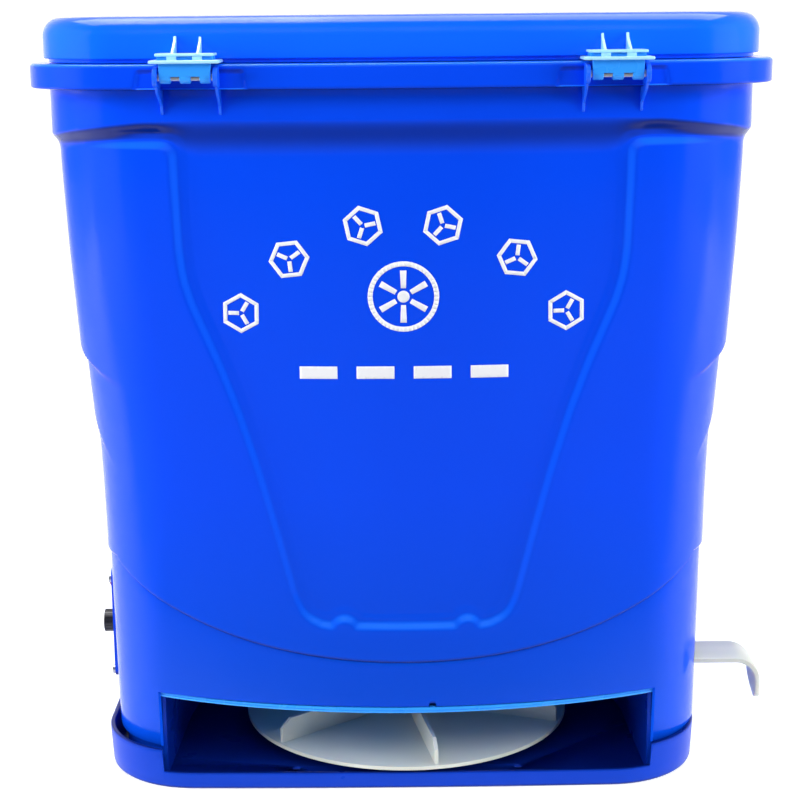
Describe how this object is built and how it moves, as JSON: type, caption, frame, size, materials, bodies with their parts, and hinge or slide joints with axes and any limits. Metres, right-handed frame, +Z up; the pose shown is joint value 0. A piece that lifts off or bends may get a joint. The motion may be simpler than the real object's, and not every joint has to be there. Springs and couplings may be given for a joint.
{
  "type": "granule spreader",
  "caption": "Body-worn battery granule spreader: rounded tub with a front-hinged lid, a sliding flow gate and a spinner disc in a wide front discharge mouth over a base tray.",
  "frame": {"origin": "centre of the underside of the base tray, where the spreader stands on a flat surface", "axes": "+Z up out of the lid; -Y is the front, the side that throws; +X is the right seen from the front, the side with the flow gate grip"},
  "size_m": [0.39, 0.308, 0.414],
  "materials": {
    "blue_pp": "glossy injection-moulded polypropylene, bright blue",
    "white_pp": "natural white polypropylene, slightly translucent, satin",
    "black_plastic": "black satin plastic",
    "red_plastic": "glossy red plastic",
    "rubber": "soft black rubber",
    "steel": "zinc-plated or drawn steel",
    "copper": "laminations and enamelled copper windings",
    "battery_wrap": "green heat-shrink sleeve",
    "board": "green circuit board"
  },
  "bodies": {
    "spreader": {"hopper_shell": "blue_pp", "funnel_floor": "blue_pp", "base_tray": "blue_pp", "chamber_cover": "blue_pp", "gate_guide": "blue_pp", "hinge_pins": "steel", "motor_can": "steel", "motor_screws": "steel", "battery_pack": "battery_wrap", "battery_strap": "steel", "control_board": "board", "board_standoffs": "white_pp", "motor_lead": "rubber", "battery_lead": "rubber", "control_panel": "blue_pp", "panel_screws": "steel", "panel_rivet": "white_pp", "potentiometer": "steel", "rocker_frame": "black_plastic", "charge_socket": "black_plastic", "tray_screws": "steel", "cover_screws": "steel"},
    "lid": {"lid_shell": "blue_pp", "lid_seal": "rubber"},
    "spinner": {"spinner_disc": "white_pp", "hub_screw": "steel", "motor_shaft": "steel", "motor_rotor": "copper"},
    "gate": {"gate_slide": "white_pp"},
    "knob": {"speed_knob": "black_plastic", "knob_shaft": "steel"},
    "rocker": {"rocker_button": "red_plastic"}
  },
  "joints": [
    {"name": "lid_hinge", "type": "hinge", "parent": "spreader", "child": "lid", "pos_m": [0, -0.157, 0.385], "axis": [1, 0, 0], "range_deg": [0, 110]},
    {"name": "spinner_spin", "type": "hinge", "parent": "spreader", "child": "spinner", "pos_m": [0, -0.024, 0.03], "axis": [0, 0, 1], "continuous": true},
    {"name": "flow_gate_slide", "type": "slide", "parent": "spreader", "child": "gate", "axis": [1, 0, 0], "range_m": [0, 0.04]},
    {"name": "speed_knob_turn", "type": "hinge", "parent": "spreader", "child": "knob", "pos_m": [-0.168, -0.034, 0.07], "axis": [-1, 0, 0], "range_deg": [0, 270]},
    {"name": "power_rocker", "type": "hinge", "parent": "spreader", "child": "rocker", "pos_m": [-0.1655, -0.034, 0.09], "axis": [0, 1, 0], "range_deg": [0, 24]}
  ]
}
